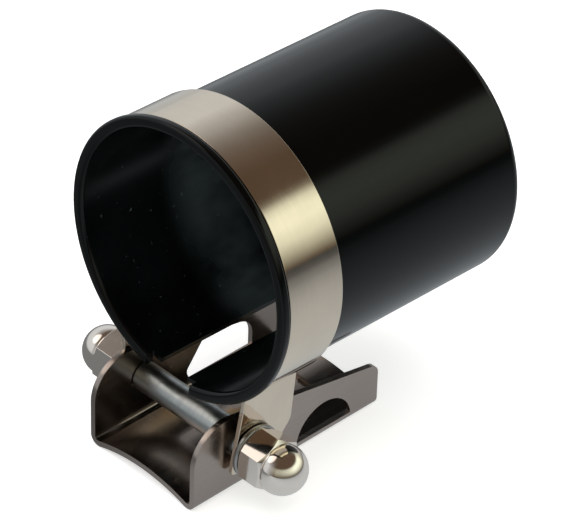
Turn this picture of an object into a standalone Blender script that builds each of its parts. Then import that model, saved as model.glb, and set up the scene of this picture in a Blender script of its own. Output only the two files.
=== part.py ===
# Cup mount for a round instrument: a thin drawn cup held by a band whose two
# turned-down tabs pivot on a stud across a folded saddle foot.
# Metres, +Z up, +X along the stud, -Y is the open mouth of the cup.
import bpy
import bmesh
import math
from mathutils import Matrix, Vector

MM = 0.001

# ---- placement: mid plane of the foot, stud height and so on, in mm ---------
SHIFT_X, SHIFT_Y, SHIFT_Z = -0.74, -25.0, 9.81   # puts the bottom centre of the whole at 0,0,0
TILT = math.radians(1.65)      # the cup hangs this much rear down about the X axis

# ---- cup ---------------------------------------------------------------------
CUP_H = 36.66                  # height of the cup axis above the datum
CUP_FRONT = -4.40              # mouth plane
CUP_LEN = 64.17
CUP_R = 27.08                  # drawn body, outside
CUP_WALL = 0.90
LIP_R = 28.72
LIP_T = 1.85
REAR_FILLET = 2.1
CUP_ROLL = math.radians(2.6)   # the slot leans towards -X
SLOT_W = 7.2
SLOT_LEN = 50.0
NOTCH_W = 12.0
CUP_SEG = 96

# ---- band --------------------------------------------------------------------
BAND_T = 0.98
BAND_RI = 27.34
BAND_Y0, BAND_Y1 = -2.28, 10.86
TAB_Z0 = -4.4                  # lower end of the two tabs

# ---- stud, nuts, washers -----------------------------------------------------
STUD_Y, STUD_Z = 1.0, 0.5
SHANK_R = 3.0
THREAD_R = 2.95
HOLE_R = 3.2
WASHER_R = 5.5
WASHER_T = 1.0
NUT_AF = 10.2
NUT_HEX_H = 5.5
NUT_LEN = 11.7
DOME_R = 5.05
NUT_BORE_R = 3.03
NUT_BORE_DEPTH = 8.0
RIGHT_WASHER_X = 17.30
LEFT_WASHER_X = -15.80
HEX_TURN_RIGHT = math.radians(-3.9)
HEX_TURN_LEFT = math.radians(11.0)

# ---- saddle foot -------------------------------------------------------------
FOOT_W = 14.5                  # half width outside
FOOT_T = 1.2
FOOT_Y0, FOOT_Y1 = -11.5, 37.0
FOOT_Z0 = -9.81
BEND_R = 2.0
SADDLE_R = 38.0                # underside, hollow towards the tube it sits on
EAR_R = 8.0
EAR_Y = -3.5
EAR_SLOPE = math.radians(11.0)
STRAP_Y, STRAP_Z, STRAP_R = 22.5, -8.6, 7.3
STRAP_FLOOR = -7.6
LEFT_HOLE = [(13.4, -7.6, 0), (12.2, -4.8, 1.5), (17.2, 1.9, 1.0), (29.9, -0.6, 4.4), (29.9, -7.6, 0)]

for ob in list(bpy.data.objects):
    bpy.data.objects.remove(ob, do_unlink=True)


def material(name, colour, rough, metal, coat=0.0):
    m = bpy.data.materials.new(name)
    m.use_nodes = True
    p = m.node_tree.nodes["Principled BSDF"]
    p.inputs["Base Color"].default_value = (*colour, 1.0)
    p.inputs["Roughness"].default_value = rough
    p.inputs["Metallic"].default_value = metal
    p.inputs["Coat Weight"].default_value = coat
    m.diffuse_color = (*colour, 1.0)
    return m


def world(x, y, z):
    return Vector(((x + SHIFT_X) * MM, (y + SHIFT_Y) * MM, (z + SHIFT_Z) * MM))


def tilted(x, y, z):
    """Datum-frame point of the cup and band after the rear-down tilt."""
    c, s = math.cos(TILT), math.sin(TILT)
    return x, y * c + z * s, -y * s + z * c


def add_object(name, mesh, mat=None):
    ob = bpy.data.objects.new(name, mesh)
    bpy.context.scene.collection.objects.link(ob)
    if mat:
        mesh.materials.append(mat)
    return ob


def apply_all(ob):
    bpy.context.view_layer.objects.active = ob
    for m in list(ob.modifiers):
        bpy.ops.object.modifier_apply(modifier=m.name)


def boolean(ob, cutter, operation="DIFFERENCE"):
    m = ob.modifiers.new("cut", "BOOLEAN")
    m.operation = operation
    m.solver = "EXACT"
    m.object = cutter
    apply_all(ob)
    bpy.data.objects.remove(cutter, do_unlink=True)


def tidy(ob, angle=32.0):
    me = ob.data
    bm = bmesh.new()
    bm.from_mesh(me)
    bmesh.ops.remove_doubles(bm, verts=bm.verts, dist=2e-6)
    bmesh.ops.dissolve_degenerate(bm, edges=bm.edges, dist=1e-6)
    bmesh.ops.recalc_face_normals(bm, faces=bm.faces)
    bm.to_mesh(me)
    bm.free()
    for p in me.polygons:
        p.use_smooth = True
    me.set_sharp_from_angle(angle=math.radians(angle))


def revolve(name, profile, seg, mat=None):
    """Closed outline (r, z) in mm, or an open one whose ends lie on the axis, spun about Z."""
    bm = bmesh.new()
    rings = []
    for r, z in profile:
        if r <= 1e-9:
            rings.append([bm.verts.new((0.0, 0.0, z * MM))])
        else:
            rings.append([bm.verts.new((r * MM * math.cos(2 * math.pi * k / seg),
                                        r * MM * math.sin(2 * math.pi * k / seg), z * MM))
                          for k in range(seg)])
    on_axis = len(rings[0]) == 1 and len(rings[-1]) == 1
    n = len(rings)
    for i in range(n - 1 if on_axis else n):
        a, b = rings[i], rings[(i + 1) % n]
        for k in range(seg):
            k2 = (k + 1) % seg
            if len(a) == 1:
                bm.faces.new((a[0], b[k], b[k2]))
            elif len(b) == 1:
                bm.faces.new((a[k], b[0], a[k2]))
            else:
                bm.faces.new((a[k], b[k], b[k2], a[k2]))
    bmesh.ops.recalc_face_normals(bm, faces=bm.faces)
    me = bpy.data.meshes.new(name)
    bm.to_mesh(me)
    bm.free()
    return add_object(name, me, mat)


def prism(name, outline, lo, hi, along, mat=None):
    """Flat closed outline in mm pushed from lo to hi along X or Y.
    Along X the outline is (y, z); along Y it is (x, z)."""
    bm = bmesh.new()
    ends = []
    for t in (lo, hi):
        ends.append([bm.verts.new((t * MM, a * MM, b * MM) if along == "X"
                                  else (a * MM, t * MM, b * MM)) for a, b in outline])
    n = len(outline)
    bm.faces.new(ends[0])
    bm.faces.new(ends[1])
    for i in range(n):
        j = (i + 1) % n
        bm.faces.new((ends[0][i], ends[0][j], ends[1][j], ends[1][i]))
    bmesh.ops.recalc_face_normals(bm, faces=bm.faces)
    me = bpy.data.meshes.new(name)
    bm.to_mesh(me)
    bm.free()
    return add_object(name, me, mat)


def arc(cx, cy, r, a0, a1, n):
    return [(cx + r * math.cos(math.radians(a0 + (a1 - a0) * k / n)),
             cy + r * math.sin(math.radians(a0 + (a1 - a0) * k / n))) for k in range(n + 1)]


def rounded(points, seg=6):
    """Polyline (x, y, r) with each corner replaced by an arc of radius r."""
    out = []
    n = len(points)
    for i in range(n):
        x, y, r = points[i]
        if r <= 0:
            out.append((x, y))
            continue
        p = Vector((x, y))
        a = (Vector(points[i - 1][:2]) - p).normalized()
        b = (Vector(points[(i + 1) % n][:2]) - p).normalized()
        half = a.angle(b) / 2
        d = r / math.tan(half)
        c = p + (a + b).normalized() * (r / math.sin(half))
        v0, v1 = p + a * d - c, p + b * d - c
        ang = v0.angle_signed(v1)
        for k in range(seg + 1):
            t = -ang * k / seg
            out.append((c.x + v0.x * math.cos(t) - v0.y * math.sin(t),
                        c.y + v0.x * math.sin(t) + v0.y * math.cos(t)))
    return out


def drill(ob, r, y, z, lo, hi, seg=28):
    cutter = prism("drill", arc(y, z, r, 0, 360 - 360 / seg, seg - 1), lo, hi, "X")
    boolean(ob, cutter)


# ---- materials ---------------------------------------------------------------
BLACK = material("gloss_black", (0.012, 0.013, 0.016), 0.18, 0.0, 0.6)
SATIN = material("satin_stainless", (0.62, 0.58, 0.52), 0.30, 1.0)
POLISHED = material("polished_stainless", (0.60, 0.58, 0.56), 0.16, 1.0)
BRIGHT = material("bright_plating", (0.80, 0.78, 0.74), 0.10, 1.0)
ZINC = material("bright_zinc", (0.62, 0.63, 0.63), 0.22, 1.0)

# ==== cup =======================================================================
# Built with its axis on local Z, mouth at z = 0, then laid down along +Y.
ri = CUP_R - CUP_WALL
L = CUP_LEN
profile = [(0.0, L)]
profile += arc(CUP_R - REAR_FILLET, L - REAR_FILLET, REAR_FILLET, 90, 0, 4)
profile += [(CUP_R, LIP_T + 0.35), (CUP_R + 0.35, LIP_T)]
profile += arc(LIP_R - 0.55, LIP_T - 0.55, 0.55, 90, 0, 2)
profile += arc(LIP_R - 0.55, 0.55, 0.55, 0, -90, 2)
profile += arc(ri + 1.0, 1.0, 1.0, -90, -180, 4)
profile += arc(ri - (REAR_FILLET - CUP_WALL), L - REAR_FILLET, REAR_FILLET - CUP_WALL, 0, 90, 3)
profile += [(0.0, L - CUP_WALL)]
cup = revolve("cup", profile, CUP_SEG, BLACK)

# Slot for the cable: straight sides, round end, wider where it breaks the lip.
# Local +X points down once the cup is laid over, so the slot is cut on +X.
slot = rounded([(-2.0, -SLOT_W / 2, 0), (SLOT_LEN, -SLOT_W / 2, SLOT_W / 2 - 0.01),
                (SLOT_LEN, SLOT_W / 2, SLOT_W / 2 - 0.01), (-2.0, SLOT_W / 2, 0)], 8)
bm_pts = [(y, z) for z, y in slot]                       # (local y, local z)
cutter = prism("slot", bm_pts, 15.0, 32.0, "X")
boolean(cup, cutter)
notch = [(-NOTCH_W / 2, -2.0), (NOTCH_W / 2, -2.0), (NOTCH_W / 2, LIP_T + 0.1),
         (-NOTCH_W / 2, LIP_T + 0.1)]
cutter = prism("notch", notch, 15.0, 32.0, "X")
boolean(cup, cutter)
tidy(cup)
# lay over: local Z -> +Y, local X -> -Z, then roll about the axis and tilt
lay = Matrix(((0, -1, 0), (0, 0, 1), (-1, 0, 0)))
roll = Matrix.Rotation(CUP_ROLL, 3, "Y")
lean = Matrix.Rotation(-TILT, 3, "X")
cup.matrix_world = Matrix.Translation(world(*tilted(0.0, CUP_FRONT, CUP_H))) @ (lean @ roll @ lay).to_4x4()

# ==== band ======================================================================
# Mid line of the sheet in the x-z plane, cup axis at (0, CUP_H).
rm = BAND_RI + BAND_T / 2


def side_path(side, pts_line, bend, n_ring, n_bend=6):
    """From the top of the ring down one side: the ring itself, then the sharp
    bend of radius `bend` that turns it into the straight run `pts_line`."""
    top, lower = pts_line
    p0, p1 = Vector(top), Vector(lower)
    d = (p1 - p0).normalized()
    nrm = Vector((-d.y, d.x))
    if nrm.x * side < 0:
        nrm = -nrm
    axis = Vector((0.0, CUP_H))
    # centre of the bend: `bend` outside the straight run, rm + bend from the axis
    q = p0 + nrm * bend - axis
    b = q.dot(d)
    disc = b * b - (q.length_squared - (rm + bend) ** 2)
    t = -b + math.sqrt(disc)
    c = axis + q + d * t
    on_ring = axis + (c - axis).normalized() * rm
    on_line = c - nrm * bend
    phi = math.degrees(math.atan2((on_ring.x - axis.x) * side, -(on_ring.y - axis.y)))
    ring = []
    for k in range(n_ring + 1):
        a = math.radians(180 - (180 - phi) * k / n_ring)
        ring.append((side * rm * math.sin(a), CUP_H - rm * math.cos(a)))
    v0, v1 = on_ring - c, on_line - c
    ang = v0.angle_signed(v1)
    arc_pts = []
    for k in range(1, n_bend + 1):
        w = -ang * k / n_bend
        arc_pts.append((c.x + v0.x * math.cos(w) - v0.y * math.sin(w),
                        c.y + v0.x * math.sin(w) + v0.y * math.cos(w)))
    return ring, arc_pts


RIGHT_RUN = ((17.02, 10.7), (15.76, -3.7))
ring_r, bend_r = side_path(1, RIGHT_RUN, 1.6, 34)
dr = (Vector(RIGHT_RUN[1]) - Vector(RIGHT_RUN[0])).normalized()
k = (TAB_Z0 - 1.5 - RIGHT_RUN[1][1]) / dr.y
end_r = Vector(RIGHT_RUN[1]) + dr * k
LEFT_RUN = ((-16.95, 13.0), (-15.27, 7.7))
ring_l, bend_l = side_path(-1, LEFT_RUN, 1.6, 34)
# the left run meets the ear and turns straight down beside it
left_tail = rounded([(-16.95, 13.0, 0), (-15.27, 7.7, 4.0), (-15.27, TAB_Z0 - 1.5, 0)], 4)
path = [(end_r.x, end_r.y)] + bend_r[::-1] + ring_r[::-1] + ring_l[1:] + bend_l + left_tail[1:]

half = BAND_T / 2
outer, inner = [], []
for i, p in enumerate(path):
    a = Vector(path[max(i - 1, 0)])
    b = Vector(path[min(i + 1, len(path) - 1)])
    p = Vector(p)
    if i in (0, len(path) - 1):
        m = Vector((-(b - a).y, (b - a).x)).normalized()
        k = 1.0
    else:
        n0 = Vector((-(p - a).y, (p - a).x)).normalized()
        n1 = Vector((-(b - p).y, (b - p).x)).normalized()
        m = (n0 + n1).normalized()
        k = 1.0 / max(m.dot(n0), 0.5)
    outer.append(tuple(p - m * half * k))
    inner.append(tuple(p + m * half * k))
band = prism("band_clamp", outer + inner[::-1], -8.0, 16.0, "Y", SATIN)
side_view = rounded([(BAND_Y0, 80.0, 0), (BAND_Y0, 12.5, 20.0), (-3.45, TAB_Z0, 1.0),
                     (6.2, TAB_Z0 - 0.1, 4.0), (11.1, 2.6, 4.0), (BAND_Y1, 13.5, 20.0),
                     (BAND_Y1, 80.0, 0)], 5)
boolean(band, prism("outline", side_view, -40.0, 40.0, "X"), "INTERSECT")
# stud hole: the stud stays level while the band leans, so cut it at the datum
c, s = math.cos(-TILT), math.sin(-TILT)
hy, hz = STUD_Y * c + STUD_Z * s, -STUD_Y * s + STUD_Z * c
drill(band, HOLE_R, hy, hz, -25.0, 25.0)
tidy(band)
pivot = world(0.0, STUD_Y, STUD_Z)
band.data.transform(Matrix.Translation(Vector((0.0, -hy * MM, -hz * MM))))
band.matrix_world = Matrix.Translation(pivot) @ lean.to_4x4()

# ==== saddle foot =================================================================
theta = math.degrees(math.asin((FOOT_W - BEND_R) / (SADDLE_R + BEND_R)))
zb = FOOT_Z0 + BEND_R
zc = zb - (SADDLE_R + BEND_R) * math.cos(math.radians(theta))


def channel(off, n_bend, n_arch):
    """Section of the folded sheet, `off` inside its lower and outer face."""
    xb = FOOT_W - BEND_R
    left = [(-FOOT_W + off, 12.0)] + arc(-xb, zb, BEND_R - off, 180, 270 + theta, n_bend)
    arch = arc(0.0, zc, SADDLE_R + off, 90 + theta, 90 - theta, n_arch)[1:-1]
    right = arc(xb, zb, BEND_R - off, 270 - theta, 360, n_bend) + [(FOOT_W - off, 12.0)]
    return left + arch + right


section = channel(0.0, 7, 14) + channel(FOOT_T, 7, 14)[::-1]
foot = prism("saddle_foot", section, FOOT_Y0 - 2.0, FOOT_Y1 + 2.0, "Y", POLISHED)
tx, tz = EAR_Y + EAR_R * math.sin(EAR_SLOPE), EAR_R * math.cos(EAR_SLOPE)
run = math.tan(EAR_SLOPE)
wall = [(FOOT_Y0, FOOT_Z0 - 3.0, 0), (FOOT_Y1, FOOT_Z0 - 3.0, 0)]
wall_tail = rounded([(tx, tz, 0), (FOOT_Y1, tz - run * (FOOT_Y1 - tx), 2.3),
                     (FOOT_Y1, FOOT_Z0 + 0.35, 0.0), (FOOT_Y1 - 0.35, FOOT_Z0 - 3.0, 0),
                     (FOOT_Y0, FOOT_Z0 - 3.0, 0)], 6)
outline = arc(EAR_Y, 0.0, EAR_R, 180, 90 - math.degrees(EAR_SLOPE), 18)[:-1] + wall_tail
boolean(foot, prism("outline", outline, -30.0, 30.0, "X"), "INTERSECT")
drill(foot, HOLE_R, STUD_Y, STUD_Z, -25.0, 25.0)
a0 = math.degrees(math.asin((STRAP_FLOOR - STRAP_Z) / STRAP_R))
boolean(foot, prism("strap", arc(STRAP_Y, STRAP_Z, STRAP_R, a0, 180 - a0, 18), 0.0, 25.0, "X"))
# the hole in the -X wall is taller and follows the sloping top edge
boolean(foot, prism("strap_left", rounded(LEFT_HOLE, 5), -25.0, 0.0, "X"))
tidy(foot)
foot.location = world(0.0, 0.0, 0.0)

# ==== stud ========================================================================
right_nut_x = RIGHT_WASHER_X + WASHER_T + 0.1
left_nut_x = LEFT_WASHER_X - WASHER_T - 0.1
x1 = right_nut_x + NUT_BORE_DEPTH - 0.8
x0 = left_nut_x - NUT_BORE_DEPTH + 0.8
neck = 12.9
stud = revolve("stud", [(0.0, x0), (THREAD_R - 0.7, x0), (THREAD_R, x0 + 0.7), (THREAD_R, -neck - 0.4),
                        (SHANK_R, -neck), (SHANK_R, neck), (THREAD_R, neck + 0.4),
                        (THREAD_R, x1 - 0.7), (THREAD_R - 0.7, x1), (0.0, x1)], 24, BRIGHT)
tidy(stud)
stud.rotation_euler = (0.0, math.pi / 2, 0.0)
stud.location = world(0.0, STUD_Y, STUD_Z)

# ==== washers =====================================================================
for name, x in (("washer_right", RIGHT_WASHER_X), ("washer_left", LEFT_WASHER_X - WASHER_T)):
    w = revolve(name, [(HOLE_R - 0.1, 0.0), (WASHER_R - 0.2, 0.0), (WASHER_R, 0.2),
                       (WASHER_R, WASHER_T - 0.2), (WASHER_R - 0.2, WASHER_T),
                       (HOLE_R - 0.1, WASHER_T)], 32, ZINC)
    tidy(w)
    w.rotation_euler = (0.0, math.pi / 2, 0.0)
    w.location = world(x, STUD_Y, STUD_Z)


# ==== acorn nuts ==================================================================
def acorn(name, turn):
    corner = NUT_AF / 2 / math.cos(math.pi / 6)
    face = NUT_AF / 2 - 0.1
    drop = (corner - face) * math.tan(math.radians(30))
    centre = NUT_LEN - DOME_R
    turned = [(0.0, 0.0), (face, 0.0), (corner + 0.02, drop), (corner + 0.02, NUT_HEX_H - drop),
              (face, NUT_HEX_H), (DOME_R, NUT_HEX_H + 0.1)]
    turned += arc(0.0, centre, DOME_R, 0, 90, 8)[:-1] + [(0.0, NUT_LEN)]
    body = revolve(name, turned, 36, BRIGHT)
    hexagon = revolve("hexagon", [(0.0, -1.0), (corner, -1.0), (corner, NUT_LEN + 1.0),
                                  (0.0, NUT_LEN + 1.0)], 6)
    hexagon.data.transform(Matrix.Rotation(turn, 4, "Z"))
    boolean(body, hexagon, "INTERSECT")
    bore = revolve("bore", [(0.0, -1.0), (NUT_BORE_R, -1.0), (NUT_BORE_R, NUT_BORE_DEPTH),
                            (0.0, NUT_BORE_DEPTH + 1.2)], 24)
    boolean(body, bore)
    tidy(body, 25.0)
    return body


nut = acorn("acorn_nut_right", HEX_TURN_RIGHT)
nut.rotation_euler = (0.0, math.pi / 2, 0.0)
nut.location = world(right_nut_x, STUD_Y, STUD_Z)
nut = acorn("acorn_nut_left", HEX_TURN_LEFT)
nut.rotation_euler = (0.0, -math.pi / 2, 0.0)
nut.location = world(left_nut_x, STUD_Y, STUD_Z)
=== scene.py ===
# Looks of the cup mount: finer shapes for every piece, materials, light and camera.
import bpy
import bmesh
import math
from mathutils import Matrix, Vector

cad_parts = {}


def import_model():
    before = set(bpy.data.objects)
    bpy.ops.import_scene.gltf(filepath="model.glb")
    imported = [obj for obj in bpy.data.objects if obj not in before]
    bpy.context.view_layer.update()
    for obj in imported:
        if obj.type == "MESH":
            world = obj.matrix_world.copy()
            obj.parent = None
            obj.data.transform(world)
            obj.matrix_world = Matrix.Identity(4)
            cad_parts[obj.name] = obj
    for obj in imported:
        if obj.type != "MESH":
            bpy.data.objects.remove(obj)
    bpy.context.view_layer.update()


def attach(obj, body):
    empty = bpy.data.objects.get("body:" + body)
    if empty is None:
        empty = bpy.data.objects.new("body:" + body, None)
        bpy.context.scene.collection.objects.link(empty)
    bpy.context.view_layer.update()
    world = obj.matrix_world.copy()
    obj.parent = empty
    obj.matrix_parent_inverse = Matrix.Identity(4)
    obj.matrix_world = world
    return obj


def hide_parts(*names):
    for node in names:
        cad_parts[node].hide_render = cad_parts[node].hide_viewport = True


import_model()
MM = 0.001

# ---- the model's dimensions, in mm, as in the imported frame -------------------
SHIFT_X, SHIFT_Y, SHIFT_Z = -0.74, -25.0, 9.81
TILT = math.radians(1.65)
CUP_H, CUP_FRONT, CUP_LEN, CUP_R, CUP_WALL = 36.66, -4.40, 64.17, 27.08, 0.90
LIP_R, LIP_T, REAR_FILLET = 28.72, 1.85, 2.1
CUP_ROLL = math.radians(2.6)
SLOT_W, SLOT_LEN, NOTCH_W = 7.2, 50.0, 12.0
BAND_T, BAND_RI, BAND_Y0, BAND_Y1, TAB_Z0 = 0.98, 27.34, -2.28, 10.86, -4.4
STUD_Y, STUD_Z = 1.0, 0.5
SHANK_R, THREAD_R, HOLE_R = 3.0, 2.95, 3.2
WASHER_R, WASHER_T = 5.5, 1.0
NUT_AF, NUT_HEX_H, NUT_LEN, DOME_R = 10.2, 5.5, 11.7, 5.05
NUT_BORE_R, NUT_BORE_DEPTH = 3.03, 8.0
RIGHT_WASHER_X, LEFT_WASHER_X = 17.30, -15.80
HEX_TURN_RIGHT, HEX_TURN_LEFT = math.radians(-3.9), math.radians(11.0)
FOOT_W, FOOT_T, FOOT_Y0, FOOT_Y1, FOOT_Z0 = 14.5, 1.2, -11.5, 37.0, -9.81
BEND_R, SADDLE_R = 2.0, 38.0
EAR_R, EAR_Y, EAR_SLOPE = 8.0, -3.5, math.radians(11.0)
STRAP_Y, STRAP_Z, STRAP_R, STRAP_FLOOR = 22.5, -8.6, 7.3, -7.6
LEFT_HOLE = [(13.4, -7.6, 0), (12.2, -4.8, 1.5), (17.2, 1.9, 1.0), (29.9, -0.6, 4.4), (29.9, -7.6, 0)]


def world(x, y, z):
    return Vector(((x + SHIFT_X) * MM, (y + SHIFT_Y) * MM, (z + SHIFT_Z) * MM))


def tilted(x, y, z):
    c, s = math.cos(TILT), math.sin(TILT)
    return x, y * c + z * s, -y * s + z * c


# ---- mesh helpers ------------------------------------------------------------
def add_object(name, mesh):
    ob = bpy.data.objects.new(name, mesh)
    bpy.context.scene.collection.objects.link(ob)
    return ob


def apply_all(ob):
    bpy.context.view_layer.objects.active = ob
    for m in list(ob.modifiers):
        bpy.ops.object.modifier_apply(modifier=m.name)


def boolean(ob, cutter, operation="DIFFERENCE"):
    m = ob.modifiers.new("cut", "BOOLEAN")
    m.operation = operation
    m.solver = "EXACT"
    m.object = cutter
    apply_all(ob)
    bpy.data.objects.remove(cutter, do_unlink=True)


def bevel(ob, width, angle=35.0, segments=3):
    m = ob.modifiers.new("edges", "BEVEL")
    m.width = width * MM
    m.segments = segments
    m.limit_method = "ANGLE"
    m.angle_limit = math.radians(angle)
    m.use_clamp_overlap = True
    apply_all(ob)


def finish_mesh(ob, matrix, body, node, mat, sharp=38.0, weighted=True):
    me = ob.data
    bm = bmesh.new()
    bm.from_mesh(me)
    bmesh.ops.remove_doubles(bm, verts=bm.verts, dist=1e-6)
    bmesh.ops.dissolve_degenerate(bm, edges=bm.edges, dist=5e-7)
    bmesh.ops.recalc_face_normals(bm, faces=bm.faces)
    bm.to_mesh(me)
    bm.free()
    me.transform(matrix)
    for p in me.polygons:
        p.use_smooth = True
    me.set_sharp_from_angle(angle=math.radians(sharp))
    if weighted:
        w = ob.modifiers.new("normals", "WEIGHTED_NORMAL")
        w.keep_sharp = True
        w.weight = 50
    me.materials.clear()
    me.materials.append(mat)
    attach(ob, body)
    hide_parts(node)
    return ob


def revolve(name, profile, seg):
    bm = bmesh.new()
    rings = []
    for r, z in profile:
        if r <= 1e-9:
            rings.append([bm.verts.new((0.0, 0.0, z * MM))])
        else:
            rings.append([bm.verts.new((r * MM * math.cos(2 * math.pi * k / seg),
                                        r * MM * math.sin(2 * math.pi * k / seg), z * MM))
                          for k in range(seg)])
    on_axis = len(rings[0]) == 1 and len(rings[-1]) == 1
    n = len(rings)
    for i in range(n - 1 if on_axis else n):
        a, b = rings[i], rings[(i + 1) % n]
        for k in range(seg):
            k2 = (k + 1) % seg
            if len(a) == 1:
                bm.faces.new((a[0], b[k], b[k2]))
            elif len(b) == 1:
                bm.faces.new((a[k], b[0], a[k2]))
            else:
                bm.faces.new((a[k], b[k], b[k2], a[k2]))
    bmesh.ops.recalc_face_normals(bm, faces=bm.faces)
    me = bpy.data.meshes.new(name)
    bm.to_mesh(me)
    bm.free()
    return add_object(name, me)


def prism(name, outline, lo, hi, along):
    bm = bmesh.new()
    ends = []
    for t in (lo, hi):
        ends.append([bm.verts.new((t * MM, a * MM, b * MM) if along == "X"
                                  else (a * MM, t * MM, b * MM)) for a, b in outline])
    n = len(outline)
    bm.faces.new(ends[0])
    bm.faces.new(ends[1])
    for i in range(n):
        j = (i + 1) % n
        bm.faces.new((ends[0][i], ends[0][j], ends[1][j], ends[1][i]))
    bmesh.ops.recalc_face_normals(bm, faces=bm.faces)
    me = bpy.data.meshes.new(name)
    bm.to_mesh(me)
    bm.free()
    return add_object(name, me)


def arc(cx, cy, r, a0, a1, n):
    return [(cx + r * math.cos(math.radians(a0 + (a1 - a0) * k / n)),
             cy + r * math.sin(math.radians(a0 + (a1 - a0) * k / n))) for k in range(n + 1)]


def rounded(points, seg=6):
    out = []
    n = len(points)
    for i in range(n):
        x, y, r = points[i]
        if r <= 0:
            out.append((x, y))
            continue
        p = Vector((x, y))
        a = (Vector(points[i - 1][:2]) - p).normalized()
        b = (Vector(points[(i + 1) % n][:2]) - p).normalized()
        half = a.angle(b) / 2
        d = r / math.tan(half)
        c = p + (a + b).normalized() * (r / math.sin(half))
        v0, v1 = p + a * d - c, p + b * d - c
        ang = v0.angle_signed(v1)
        for k in range(seg + 1):
            t = -ang * k / seg
            out.append((c.x + v0.x * math.cos(t) - v0.y * math.sin(t),
                        c.y + v0.x * math.sin(t) + v0.y * math.cos(t)))
    return out


def drill(ob, r, y, z, lo, hi, seg=64):
    boolean(ob, prism("drill", arc(y, z, r, 0, 360 - 360 / seg, seg - 1), lo, hi, "X"))


# ---- materials ---------------------------------------------------------------
class Mat:
    """A Principled material and short names for the nodes that feed it."""

    def __init__(self, name):
        self.m = bpy.data.materials.new(name)
        self.m.use_nodes = True
        self.t = self.m.node_tree
        self.p = self.t.nodes["Principled BSDF"]
        self.co = self.t.nodes.new("ShaderNodeTexCoord").outputs["Object"]

    def link(self, a, b):
        self.t.links.new(a, b)

    def node(self, kind, **props):
        n = self.t.nodes.new(kind)
        for k, v in props.items():
            setattr(n, k, v)
        return n

    def scaled(self, v, rot=(0, 0, 0)):
        n = self.node("ShaderNodeMapping")
        n.inputs["Scale"].default_value = v
        n.inputs["Rotation"].default_value = rot
        self.link(self.co, n.inputs["Vector"])
        return n.outputs[0]

    def noise(self, vec, scale=1.0, detail=3.0, rough=0.55, distortion=0.0):
        n = self.node("ShaderNodeTexNoise")
        n.inputs["Scale"].default_value = scale
        n.inputs["Detail"].default_value = detail
        n.inputs["Roughness"].default_value = rough
        n.inputs["Distortion"].default_value = distortion
        self.link(vec, n.inputs["Vector"])
        return n.outputs[0]

    def remap(self, x, a, b, c, d, smooth=False):
        n = self.node("ShaderNodeMapRange")
        if smooth:
            n.interpolation_type = "SMOOTHSTEP"
        for i, v in enumerate((a, b, c, d)):
            n.inputs[i + 1].default_value = v
        self.link(x, n.inputs[0])
        return n.outputs[0]

    def math(self, op, a, b=None, clamp=False):
        n = self.node("ShaderNodeMath", operation=op)
        n.use_clamp = clamp
        for i, v in enumerate((a, b)):
            if v is None:
                continue
            if isinstance(v, (int, float)):
                n.inputs[i].default_value = v
            else:
                self.link(v, n.inputs[i])
        return n.outputs[0]

    def mix(self, f, a, b):
        n = self.node("ShaderNodeMix", data_type="RGBA")
        for sock, v in ((n.inputs[0], f), (n.inputs[6], a), (n.inputs[7], b)):
            if isinstance(v, (int, float)):
                sock.default_value = v
            elif isinstance(v, tuple):
                sock.default_value = (*v, 1.0)
            else:
                self.link(v, sock)
        return n.outputs[2]

    def bump(self, h, strength, dist, normal=None):
        n = self.node("ShaderNodeBump")
        n.inputs["Strength"].default_value = strength
        n.inputs["Distance"].default_value = dist
        self.link(h, n.inputs["Height"])
        if normal is not None:
            self.link(normal, n.inputs["Normal"])
        return n.outputs[0]

    def xyz(self):
        n = self.node("ShaderNodeSeparateXYZ")
        self.link(self.co, n.inputs[0])
        return n.outputs[0], n.outputs[1], n.outputs[2]

    def set(self, **kw):
        for k, v in kw.items():
            s = self.p.inputs[k.replace("_", " ")]
            if isinstance(v, tuple):
                s.default_value = (*v, 1.0) if len(v) == 3 and s.type == "RGBA" else v
            elif isinstance(v, (int, float)):
                s.default_value = v
            else:
                self.link(v, s)


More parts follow.
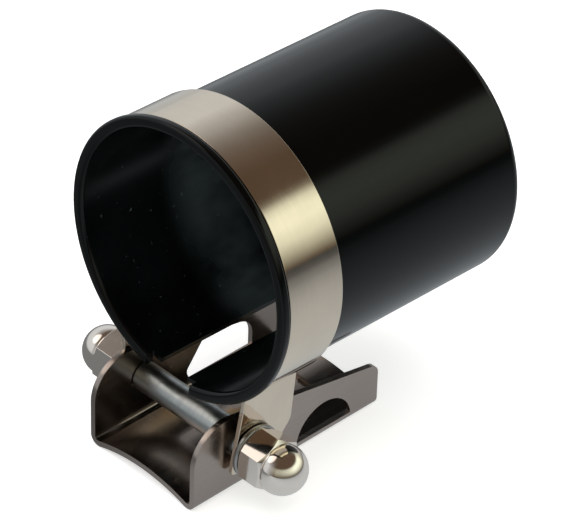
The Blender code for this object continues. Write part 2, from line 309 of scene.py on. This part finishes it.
def paint():
    """Gloss black stoving paint outside, the same but dusty inside."""
    k = Mat("cup_paint")
    x, y, z = k.xyz()
    axis = world(*tilted(0.0, 0.0, CUP_H))
    dx = k.math("SUBTRACT", x, axis.x)
    drop = k.math("MULTIPLY", k.math("SUBTRACT", y, axis.y), math.tan(TILT))
    dz = k.math("ADD", k.math("SUBTRACT", z, axis.z), drop)
    rr = k.math("SQRT", k.math("ADD", k.math("MULTIPLY", dx, dx), k.math("MULTIPLY", dz, dz)))
    depth = k.math("SUBTRACT", k.math("MULTIPLY", k.math("SUBTRACT", y, axis.y), math.cos(TILT)),
                   k.math("MULTIPLY", k.math("SUBTRACT", z, axis.z), math.sin(TILT)))
    mouth = k.math("SUBTRACT", depth, CUP_FRONT * MM)
    inside = k.math("MULTIPLY", k.remap(rr, 26.35 * MM, 26.25 * MM, 0.0, 1.0),
                    k.remap(mouth, (CUP_LEN - 0.55) * MM, (CUP_LEN - 0.35) * MM, 1.0, 0.0))
    deep = k.remap(mouth, 19 * MM, 31 * MM, 0.03, 1.0, True)
    cloud = k.noise(k.scaled((38, 22, 38)), 1.0, 4.0, 0.6)
    film = k.math("MULTIPLY", k.math("MULTIPLY", inside, deep), k.remap(cloud, 0.36, 0.62, 0.0, 1.0, True))
    fine = k.noise(k.scaled((900, 900, 900)), 1.0, 2.0, 0.5)
    grains = k.math("MULTIPLY", k.remap(fine, 0.70, 0.76, 0.0, 1.0), k.remap(cloud, 0.35, 0.6, 0.25, 1.0))
    grains_in = k.math("MULTIPLY", grains, inside)
    outside_dust = k.math("MULTIPLY", k.remap(fine, 0.79, 0.82, 0.0, 0.35), k.math("SUBTRACT", 1.0, inside))
    dust = k.math("ADD", k.math("MULTIPLY", film, 0.95), k.math("MULTIPLY", grains_in, 0.5))
    dust = k.math("ADD", dust, k.math("MULTIPLY", outside_dust, 0.35), clamp=True)
    base = k.mix(cloud, (0.0006, 0.0009, 0.0008), (0.0010, 0.0013, 0.0013))
    k.set(Base_Color=k.mix(dust, base, (0.125, 0.165, 0.18)))
    rough = k.math("ADD", k.remap(cloud, 0.3, 0.7, 0.05, 0.085), k.math("MULTIPLY", film, 0.22))
    rough = k.math("ADD", rough, k.math("MULTIPLY", inside, 0.16))
    k.set(Roughness=rough, Metallic=0.0, IOR=1.31)
    peel = k.noise(k.scaled((420, 420, 420)), 1.0, 2.0, 0.5)
    wave = k.noise(k.scaled((70, 30, 70)), 1.0, 1.0, 0.4)
    k.set(Normal=k.bump(peel, 0.05, 0.00004, k.bump(wave, 0.10, 0.0002)))
    return k.m


def steel(name, colour, rough, grain_scale, grain_strength, wear=0.5, tone=0.10, smudge=0.05, stain=0.0):
    """Bright sheet or bar: a drawn grain, cloudy tone, handling marks and fine scratches."""
    k = Mat(name)
    grain = k.noise(k.scaled(grain_scale), 1.0, 4.0, 0.65)
    cloud = k.noise(k.scaled((60, 60, 60)), 1.0, 3.0, 0.5)
    marks = k.noise(k.scaled((260, 230, 210), (0.4, 0.2, 0.9)), 1.0, 5.0, 0.7, 0.6)
    dark = tuple(c * (1.0 - tone) for c in colour)
    light = tuple(min(1.0, c * (1.0 + tone * 0.5)) for c in colour)
    base = k.mix(k.remap(cloud, 0.3, 0.7, 0.0, 1.0), dark, light)
    base = k.mix(k.remap(grain, 0.35, 0.65, 0.0, 0.30), base, dark)
    if stain:
        patch = k.noise(k.scaled((75, 55, 75), (0.3, 0.5, 0.1)), 1.0, 3.0, 0.55, 0.5)
        x, y, z = k.xyz()
        between = k.remap(k.math("ABSOLUTE", k.math("SUBTRACT", x, SHIFT_X * MM)), 13.2 * MM, 13.4 * MM, stain, 0.0)
        spots = k.math("MULTIPLY", between, k.remap(patch, 0.50, 0.60, 0.0, 1.0, True))
        base = k.mix(spots, base, (0.40, 0.25, 0.12))
    k.set(Base_Color=base, Metallic=1.0)
    r = k.math("ADD", k.remap(grain, 0.3, 0.7, rough * 0.8, rough * 1.25),
               k.math("MULTIPLY", k.remap(marks, 0.55, 0.75, 0.0, 1.0), smudge))
    k.set(Roughness=k.math("ADD", r, k.remap(cloud, 0.3, 0.7, -0.02, 0.03)))
    scratch = k.node("ShaderNodeTexVoronoi", feature="DISTANCE_TO_EDGE")
    scratch.inputs["Scale"].default_value = 1.0
    k.link(k.scaled((90, 520, 160), (0.5, 0.3, 0.2)), scratch.inputs["Vector"])
    cut = k.remap(scratch.outputs["Distance"], 0.0, 0.02, 1.0, 0.0)
    cut = k.math("MULTIPLY", cut, k.remap(marks, 0.5, 0.6, 0.0, wear))
    n0 = k.bump(grain, grain_strength, 0.00003)
    n1 = k.bump(cut, 0.10, 0.00002, n0)
    k.set(Normal=k.bump(cloud, 0.12, 0.0003, n1))
    return k.m


PAINT = paint()
SATIN = steel("band_steel", (0.80, 0.685, 0.56), 0.085, (24, 2200, 24), 0.10, smudge=0.05)
SHEET = steel("foot_steel", (0.402, 0.337, 0.300), 0.21, (700, 26, 700), 0.05, tone=0.10, smudge=0.07, stain=0.8)
NUT = steel("nut_plating", (0.88, 0.80, 0.73), 0.07, (300, 300, 300), 0.04, tone=0.06, smudge=0.04)
ROD = steel("stud_plating", (0.45, 0.465, 0.455), 0.34, (1100, 60, 60), 0.08, tone=0.10, smudge=0.06)
ZINC = steel("washer_zinc", (0.36, 0.355, 0.35), 0.25, (200, 1400, 1400), 0.30, tone=0.15, smudge=0.08)

# ==== cup =====================================================================
ri = CUP_R - CUP_WALL
L = CUP_LEN
profile = [(0.0, L)] + arc(CUP_R - REAR_FILLET, L - REAR_FILLET, REAR_FILLET, 90, 0, 12)
profile += [(CUP_R, L * f) for f in (0.75, 0.5, 0.25)]
profile += [(CUP_R, LIP_T + 0.35), (CUP_R + 0.1, LIP_T + 0.1), (CUP_R + 0.35, LIP_T)]
profile += arc(LIP_R - 0.62, LIP_T - 0.62, 0.62, 90, 0, 6)
profile += arc(LIP_R - 0.62, 0.62, 0.62, 0, -90, 6)
profile += arc(ri + 1.0, 1.0, 1.0, -90, -180, 10)
profile += [(ri, L * f) for f in (0.25, 0.5, 0.75)]
profile += arc(ri - (REAR_FILLET - CUP_WALL), L - REAR_FILLET, REAR_FILLET - CUP_WALL, 0, 90, 8)
profile += [(0.0, L - CUP_WALL)]
cup = revolve("cup_shell", profile, 240)
slot = rounded([(-2.0, -SLOT_W / 2, 0), (SLOT_LEN, -SLOT_W / 2, SLOT_W / 2 - 0.01),
                (SLOT_LEN, SLOT_W / 2, SLOT_W / 2 - 0.01), (-2.0, SLOT_W / 2, 0)], 16)
boolean(cup, prism("slot", [(b, a) for a, b in slot], 15.0, 32.0, "X"))
notch = rounded([(-NOTCH_W / 2, -2.0, 0), (NOTCH_W / 2, -2.0, 0),
                 (NOTCH_W / 2, LIP_T + 0.1, 0.3), (-NOTCH_W / 2, LIP_T + 0.1, 0.3)], 3)
boolean(cup, prism("notch", notch, 15.0, 32.0, "X"))
bevel(cup, 0.10, 50.0, 2)
lay = Matrix(((0, -1, 0), (0, 0, 1), (-1, 0, 0)))
lean = Matrix.Rotation(-TILT, 3, "X")
place = Matrix.Translation(world(*tilted(0.0, CUP_FRONT, CUP_H))) @ \
    (lean @ Matrix.Rotation(CUP_ROLL, 3, "Y") @ lay).to_4x4()
finish_mesh(cup, place, "cup", "cup", PAINT)

# ==== band ====================================================================
rm = BAND_RI + BAND_T / 2


def side_path(side, pts_line, bend, n_ring, n_bend=12):
    top, lower = pts_line
    p0, p1 = Vector(top), Vector(lower)
    d = (p1 - p0).normalized()
    nrm = Vector((-d.y, d.x))
    if nrm.x * side < 0:
        nrm = -nrm
    axis = Vector((0.0, CUP_H))
    q = p0 + nrm * bend - axis
    b = q.dot(d)
    t = -b + math.sqrt(b * b - (q.length_squared - (rm + bend) ** 2))
    c = axis + q + d * t
    on_ring = axis + (c - axis).normalized() * rm
    on_line = c - nrm * bend
    phi = math.degrees(math.atan2((on_ring.x - axis.x) * side, -(on_ring.y - axis.y)))
    ring = []
    for k in range(n_ring + 1):
        a = math.radians(180 - (180 - phi) * k / n_ring)
        ring.append((side * rm * math.sin(a), CUP_H - rm * math.cos(a)))
    v0, v1 = on_ring - c, on_line - c
    ang = v0.angle_signed(v1)
    turn = []
    for k in range(1, n_bend + 1):
        w = -ang * k / n_bend
        turn.append((c.x + v0.x * math.cos(w) - v0.y * math.sin(w),
                     c.y + v0.x * math.sin(w) + v0.y * math.cos(w)))
    return ring, turn


RIGHT_RUN = ((17.02, 10.7), (15.76, -3.7))
ring_r, bend_r = side_path(1, RIGHT_RUN, 1.6, 96)
dr = (Vector(RIGHT_RUN[1]) - Vector(RIGHT_RUN[0])).normalized()
end_r = Vector(RIGHT_RUN[1]) + dr * ((TAB_Z0 - 1.5 - RIGHT_RUN[1][1]) / dr.y)
LEFT_RUN = ((-16.95, 13.0), (-15.27, 7.7))
ring_l, bend_l = side_path(-1, LEFT_RUN, 1.6, 96)
left_tail = rounded([(-16.95, 13.0, 0), (-15.27, 7.7, 4.0), (-15.27, TAB_Z0 - 1.5, 0)], 8)
path = [(end_r.x, end_r.y)] + bend_r[::-1] + ring_r[::-1] + ring_l[1:] + bend_l + left_tail[1:]
outer, inner = [], []
for i, p in enumerate(path):
    a = Vector(path[max(i - 1, 0)])
    b = Vector(path[min(i + 1, len(path) - 1)])
    p = Vector(p)
    if i in (0, len(path) - 1):
        m, k = Vector((-(b - a).y, (b - a).x)).normalized(), 1.0
    else:
        n0 = Vector((-(p - a).y, (p - a).x)).normalized()
        n1 = Vector((-(b - p).y, (b - p).x)).normalized()
        m = (n0 + n1).normalized()
        k = 1.0 / max(m.dot(n0), 0.5)
    outer.append(tuple(p - m * BAND_T / 2 * k))
    inner.append(tuple(p + m * BAND_T / 2 * k))
band = prism("band_strip", outer + inner[::-1], -8.0, 16.0, "Y")
side_view = rounded([(BAND_Y0, 80.0, 0), (BAND_Y0, 12.5, 20.0), (-3.45, TAB_Z0, 1.0),
                     (6.2, TAB_Z0 - 0.1, 4.0), (11.1, 2.6, 4.0), (BAND_Y1, 13.5, 20.0),
                     (BAND_Y1, 80.0, 0)], 10)
boolean(band, prism("outline", side_view, -40.0, 40.0, "X"), "INTERSECT")
c, s = math.cos(-TILT), math.sin(-TILT)
hy, hz = STUD_Y * c + STUD_Z * s, -STUD_Y * s + STUD_Z * c
drill(band, HOLE_R, hy, hz, -25.0, 25.0)
bevel(band, 0.13, 40.0, 3)
place = Matrix.Translation(world(0.0, STUD_Y, STUD_Z)) @ lean.to_4x4() @ \
    Matrix.Translation(Vector((0.0, -hy * MM, -hz * MM)))
finish_mesh(band, place, "band", "band_clamp", SATIN)

# ==== saddle foot =============================================================
theta = math.degrees(math.asin((FOOT_W - BEND_R) / (SADDLE_R + BEND_R)))
zb = FOOT_Z0 + BEND_R
zc = zb - (SADDLE_R + BEND_R) * math.cos(math.radians(theta))


def channel(off, n_bend, n_arch):
    xb = FOOT_W - BEND_R
    left = [(-FOOT_W + off, 12.0)] + arc(-xb, zb, BEND_R - off, 180, 270 + theta, n_bend)
    arch = arc(0.0, zc, SADDLE_R + off, 90 + theta, 90 - theta, n_arch)[1:-1]
    right = arc(xb, zb, BEND_R - off, 270 - theta, 360, n_bend) + [(FOOT_W - off, 12.0)]
    return left + arch + right


section = channel(0.0, 14, 32) + channel(FOOT_T, 14, 32)[::-1]
foot = prism("foot_channel", section, FOOT_Y0 - 2.0, FOOT_Y1 + 2.0, "Y")
tx, tz = EAR_Y + EAR_R * math.sin(EAR_SLOPE), EAR_R * math.cos(EAR_SLOPE)
run = math.tan(EAR_SLOPE)
tail = rounded([(tx, tz, 0), (FOOT_Y1, tz - run * (FOOT_Y1 - tx), 2.3),
                (FOOT_Y1, FOOT_Z0 + 0.35, 0.0), (FOOT_Y1 - 0.35, FOOT_Z0 - 3.0, 0),
                (FOOT_Y0, FOOT_Z0 - 3.0, 0)], 10)
outline = arc(EAR_Y, 0.0, EAR_R, 180, 90 - math.degrees(EAR_SLOPE), 36)[:-1] + tail
boolean(foot, prism("outline", outline, -30.0, 30.0, "X"), "INTERSECT")
drill(foot, HOLE_R, STUD_Y, STUD_Z, -25.0, 25.0)
a0 = math.degrees(math.asin((STRAP_FLOOR - STRAP_Z) / STRAP_R))
boolean(foot, prism("strap", arc(STRAP_Y, STRAP_Z, STRAP_R, a0, 180 - a0, 36), 0.0, 25.0, "X"))
boolean(foot, prism("strap_left", rounded(LEFT_HOLE, 12), -25.0, 0.0, "X"))
bevel(foot, 0.20, 40.0, 3)
finish_mesh(foot, Matrix.Translation(world(0.0, 0.0, 0.0)), "foot", "saddle_foot",
            SHEET)

# ==== stud, washers, nuts =====================================================
right_nut_x = RIGHT_WASHER_X + WASHER_T + 0.1
left_nut_x = LEFT_WASHER_X - WASHER_T - 0.1
x1 = right_nut_x + NUT_BORE_DEPTH - 0.8
x0 = left_nut_x - NUT_BORE_DEPTH + 0.8
neck = 12.9


def ridges(a, b):
    """Thread crests and roots of 1 mm pitch between two stations."""
    n = int((b - a) / 0.5)
    return [(THREAD_R - (0.0 if i % 2 else 0.32), a + (b - a) * i / n) for i in range(1, n)]


stud_profile = [(0.0, x0), (THREAD_R - 0.7, x0), (THREAD_R, x0 + 0.7)]
stud_profile += ridges(x0 + 0.7, -neck - 0.6) + [(THREAD_R - 0.05, -neck - 0.5), (SHANK_R, -neck)]
stud_profile += [(SHANK_R, neck * f) for f in (-0.5, 0.0, 0.5)]
stud_profile += [(SHANK_R, neck), (THREAD_R - 0.05, neck + 0.5)] + ridges(neck + 0.6, x1 - 0.7)
stud_profile += [(THREAD_R, x1 - 0.7), (THREAD_R - 0.7, x1), (0.0, x1)]
stud = revolve("stud_rod", stud_profile, 96)
to_right = Matrix.Rotation(math.pi / 2, 4, "Y")
to_left = Matrix.Rotation(-math.pi / 2, 4, "Y")
finish_mesh(stud, Matrix.Translation(world(0.0, STUD_Y, STUD_Z)) @ to_right, "stud", "stud",
            ROD, 30.0)

for side, x in (("right", RIGHT_WASHER_X), ("left", LEFT_WASHER_X - WASHER_T)):
    w = revolve("plain_washer_" + side,
                [(HOLE_R - 0.1, 0.12), (HOLE_R + 0.02, 0.0)] +
                arc(WASHER_R - 0.22, 0.22, 0.22, -90, 0, 5) +
                arc(WASHER_R - 0.4, WASHER_T - 0.4, 0.4, 0, 90, 6) +
                [(HOLE_R + 0.02, WASHER_T), (HOLE_R - 0.1, WASHER_T - 0.12)], 120)
    finish_mesh(w, Matrix.Translation(world(x, STUD_Y, STUD_Z)) @ to_right, "nut_" + side,
                "washer_" + side, ZINC)


def acorn(name, turn):
    corner = NUT_AF / 2 / math.cos(math.pi / 6)
    face = NUT_AF / 2 - 0.1
    drop = (corner - face) * math.tan(math.radians(30))
    turned = [(0.0, 0.0), (face, 0.0), (corner + 0.02, drop), (corner + 0.02, NUT_HEX_H - drop),
              (face, NUT_HEX_H), (DOME_R - 0.12, NUT_HEX_H + 0.05), (DOME_R - 0.12, NUT_HEX_H + 0.3),
              (DOME_R, NUT_HEX_H + 0.55)]
    turned += arc(0.0, NUT_LEN - DOME_R, DOME_R, 0, 90, 24)[:-1] + [(0.0, NUT_LEN)]
    body = revolve(name, turned, 144)
    hexagon = revolve("hexagon", [(0.0, -1.0), (corner, -1.0), (corner, NUT_LEN + 1.0),
                                  (0.0, NUT_LEN + 1.0)], 6)
    hexagon.data.transform(Matrix.Rotation(turn, 4, "Z"))
    boolean(body, hexagon, "INTERSECT")
    boolean(body, revolve("bore", [(0.0, -1.0), (NUT_BORE_R + 0.4, -1.0), (NUT_BORE_R + 0.4, 0.0),
                                   (NUT_BORE_R, 0.4), (NUT_BORE_R, NUT_BORE_DEPTH),
                                   (0.0, NUT_BORE_DEPTH + 1.2)], 72))
    bevel(body, 0.12, 28.0, 3)
    return body


finish_mesh(acorn("dome_nut_right", HEX_TURN_RIGHT),
            Matrix.Translation(world(right_nut_x, STUD_Y, STUD_Z)) @ to_right,
            "nut_right", "acorn_nut_right", NUT, 30.0)
finish_mesh(acorn("dome_nut_left", HEX_TURN_LEFT),
            Matrix.Translation(world(left_nut_x, STUD_Y, STUD_Z)) @ to_left,
            "nut_left", "acorn_nut_left", NUT, 30.0)

# ==== floor ===================================================================
bpy.ops.mesh.primitive_circle_add(vertices=64, radius=4.0, fill_type="NGON", location=(0, 0, -0.00015))
floor = bpy.context.active_object
floor.name = "floor"
fm = Mat("floor_paper")
tone = fm.noise(fm.scaled((3, 3, 3)), 1.0, 2.0, 0.5)
fm.set(Base_Color=fm.mix(tone, (0.86, 0.865, 0.87), (0.88, 0.88, 0.88)), Roughness=0.9)
fm.p.inputs["Specular IOR Level"].default_value = 0.0
fm.p.inputs["Emission Color"].default_value = (1.0, 1.0, 1.0, 1.0)
fm.p.inputs["Emission Strength"].default_value = 0.56
# painted light in reflections: glossy rays see the paper as a glow, dark close by on the left (a painted shadow)
# and with a painted falloff of light to the right
fx, fy, fz = fm.xyz()
painted_reflection_falloff = fm.node("ShaderNodeValToRGB")
# the dip to 0.21-0.22 just left of the middle is the painted shadow; the drop after 0.52 is the painted falloff of
# light
stops = [(0.0, 0.60), (0.39, 0.60), (0.44, 0.22), (0.490, 0.21), (0.511, 0.58), (0.52, 0.62), (0.575, 0.42), (0.625, 0.27), (0.75, 0.12), (1.0, 0.08)]
while len(painted_reflection_falloff.color_ramp.elements) < len(stops):
    painted_reflection_falloff.color_ramp.elements.new(0.5)
for e, (pos, v) in zip(painted_reflection_falloff.color_ramp.elements, stops):
    e.position = pos
    e.color = (v * 0.91, v * 0.98, v * 1.02, 1.0)
fm.link(fm.remap(fx, -1.0, 1.0, 0.0, 1.0), painted_reflection_falloff.inputs[0])
# painted reflection: the glow that glossy rays see in place of the lit paper
painted_reflection_glow = fm.node("ShaderNodeEmission")
fm.link(painted_reflection_falloff.outputs[0], painted_reflection_glow.inputs["Color"])
both = fm.node("ShaderNodeMixShader")
fm.link(fm.node("ShaderNodeLightPath").outputs["Is Glossy Ray"], both.inputs[0])
fm.link(fm.p.outputs[0], both.inputs[1])
fm.link(painted_reflection_glow.outputs[0], both.inputs[2])
fm.link(both.outputs[0], fm.t.nodes["Material Output"].inputs["Surface"])
floor.data.materials.append(fm.m)

# ==== light ===================================================================
wd = bpy.data.worlds.new("studio")
bpy.context.scene.world = wd
wd.use_nodes = True
nt = wd.node_tree
for n in list(nt.nodes):
    nt.nodes.remove(n)


def N(kind, **props):
    n = nt.nodes.new(kind)
    for k, v in props.items():
        setattr(n, k, v)
    return n


def M(op, a, b=None, clamp=False):
    n = N("ShaderNodeMath", operation=op)
    n.use_clamp = clamp
    for i, v in enumerate((a, b)):
        if v is None:
            continue
        if isinstance(v, (int, float)):
            n.inputs[i].default_value = v
        else:
            nt.links.new(v, n.inputs[i])
    return n.outputs[0]


def ramp(x, stops):
    """Piecewise-linear brightness of x, which is first put on 0..1."""
    lo, hi = stops[0][0], stops[-1][0]
    n = N("ShaderNodeValToRGB")
    cr = n.color_ramp
    while len(cr.elements) < len(stops):
        cr.elements.new(0.5)
    for e, (p, v) in zip(cr.elements, stops):
        e.position = (p - lo) / (hi - lo)
        e.color = (v, v, v, 1.0)
    f = N("ShaderNodeMapRange")
    for i, v in enumerate((lo, hi, 0.0, 1.0)):
        f.inputs[i + 1].default_value = v
    nt.links.new(x, f.inputs[0])
    nt.links.new(f.outputs[0], n.inputs[0])
    return n.outputs[0]


def tint(fac, colour):
    n = N("ShaderNodeMix", data_type="RGBA", blend_type="MULTIPLY")
    n.inputs[0].default_value = 1.0
    nt.links.new(fac, n.inputs[6])
    n.inputs[7].default_value = (*colour, 1.0)
    return n.outputs[2]


sep = N("ShaderNodeSeparateXYZ")
nt.links.new(N("ShaderNodeTexCoord").outputs["Generated"], sep.inputs[0])
X, Y, Z = sep.outputs
# soft box low on the right and behind; its height profile and its sideways fade
right_h = ramp(Z, [(-0.02, 0.0), (0.01, 0.05), (0.10, 0.30), (0.26, 0.78), (0.40, 1.0), (0.50, 0.95),
                   (0.56, 0.72), (0.62, 0.10), (0.66, 0.0)])
right_w = ramp(X, [(-0.25, 0.0), (0.10, 0.55), (0.35, 1.0), (1.0, 1.0)])
back_w = ramp(Y, [(-0.75, 0.35), (-0.2, 0.6), (0.3, 1.0), (1.0, 1.0)])
right = tint(M("MULTIPLY", M("MULTIPLY", right_h, right_w), back_w), (1.07, 1.19, 1.00))
# broad bounce wall on the left, bright low down and fading before the ceiling
left_h = ramp(Z, [(-0.1, 0.60), (0.20, 0.66), (0.45, 0.70), (0.68, 0.32), (0.80, 0.12), (0.90, 0.03)])
left_w = ramp(X, [(-1.0, 1.0), (-0.45, 1.0), (-0.10, 0.35), (0.15, 0.0)])
left = tint(M("MULTIPLY", left_h, left_w), (0.85, 0.96, 1.04))


def add(a, b):
    n = N("ShaderNodeMix", data_type="RGBA", blend_type="ADD")
    n.inputs[0].default_value = 1.0
    nt.links.new(a, n.inputs[6])
    if isinstance(b, tuple):
        n.inputs[7].default_value = (*b, 1.0)
    else:
        nt.links.new(b, n.inputs[7])
    return n.outputs[2]


# a bright patch of ceiling, high on the front left
toward = M("ADD", M("ADD", M("MULTIPLY", X, -0.57), M("MULTIPLY", Y, -0.36)), M("MULTIPLY", Z, 0.74))
patch = tint(ramp(toward, [(-1.0, 0.0), (0.928, 0.0), (0.952, 0.85), (1.0, 1.0)]), (1.10, 1.03, 0.96))
sky = add(add(add(right, left), patch), (0.104, 0.073, 0.050))
bg = N("ShaderNodeBackground")
nt.links.new(sky, bg.inputs["Color"])
plain = N("ShaderNodeBackground")
plain.inputs["Color"].default_value = (0.94, 0.94, 0.94, 1.0)
mix = N("ShaderNodeMixShader")
nt.links.new(N("ShaderNodeLightPath").outputs["Is Camera Ray"], mix.inputs[0])
nt.links.new(bg.outputs[0], mix.inputs[1])
nt.links.new(plain.outputs[0], mix.inputs[2])
nt.links.new(mix.outputs[0], N("ShaderNodeOutputWorld").inputs["Surface"])


def area(name, loc, target, size, power, colour=(1, 1, 1), glossy=True):
    lamp = bpy.data.lights.new(name, "AREA")
    lamp.shape = "RECTANGLE"
    lamp.size, lamp.size_y = size
    lamp.energy = power
    lamp.color = colour
    ob = bpy.data.objects.new(name, lamp)
    bpy.context.scene.collection.objects.link(ob)
    ob.location = loc
    ob.rotation_euler = (Vector(target) - Vector(loc)).to_track_quat("-Z", "Y").to_euler()
    ob.visible_glossy = glossy
    return ob


area("overhead", (0.05, -0.05, 0.9), (0, 0, 0), (1.3, 1.3), 9.0, glossy=False)

# ==== camera ==================================================================
cam = bpy.data.cameras.new("camera")
cam.lens = 237.4
cam.sensor_width = 36.0
cam.clip_end = 20.0
ob = bpy.data.objects.new("camera", cam)
bpy.context.scene.collection.objects.link(ob)
right_v = Vector((0.6940, 0.7195, 0.0265)).normalized()
back_v = Vector((0.5677, -0.5695, 0.5945)).normalized()
up_v = back_v.cross(right_v).normalized()
right_v = up_v.cross(back_v).normalized()
ob.matrix_world = Matrix.Translation(world(413.3, -388.2, 455.4)) @ Matrix(
    ((right_v.x, up_v.x, back_v.x), (right_v.y, up_v.y, back_v.y), (right_v.z, up_v.z, back_v.z))).to_4x4()
bpy.context.scene.camera = ob
bpy.context.scene.view_settings.view_transform = "Standard"
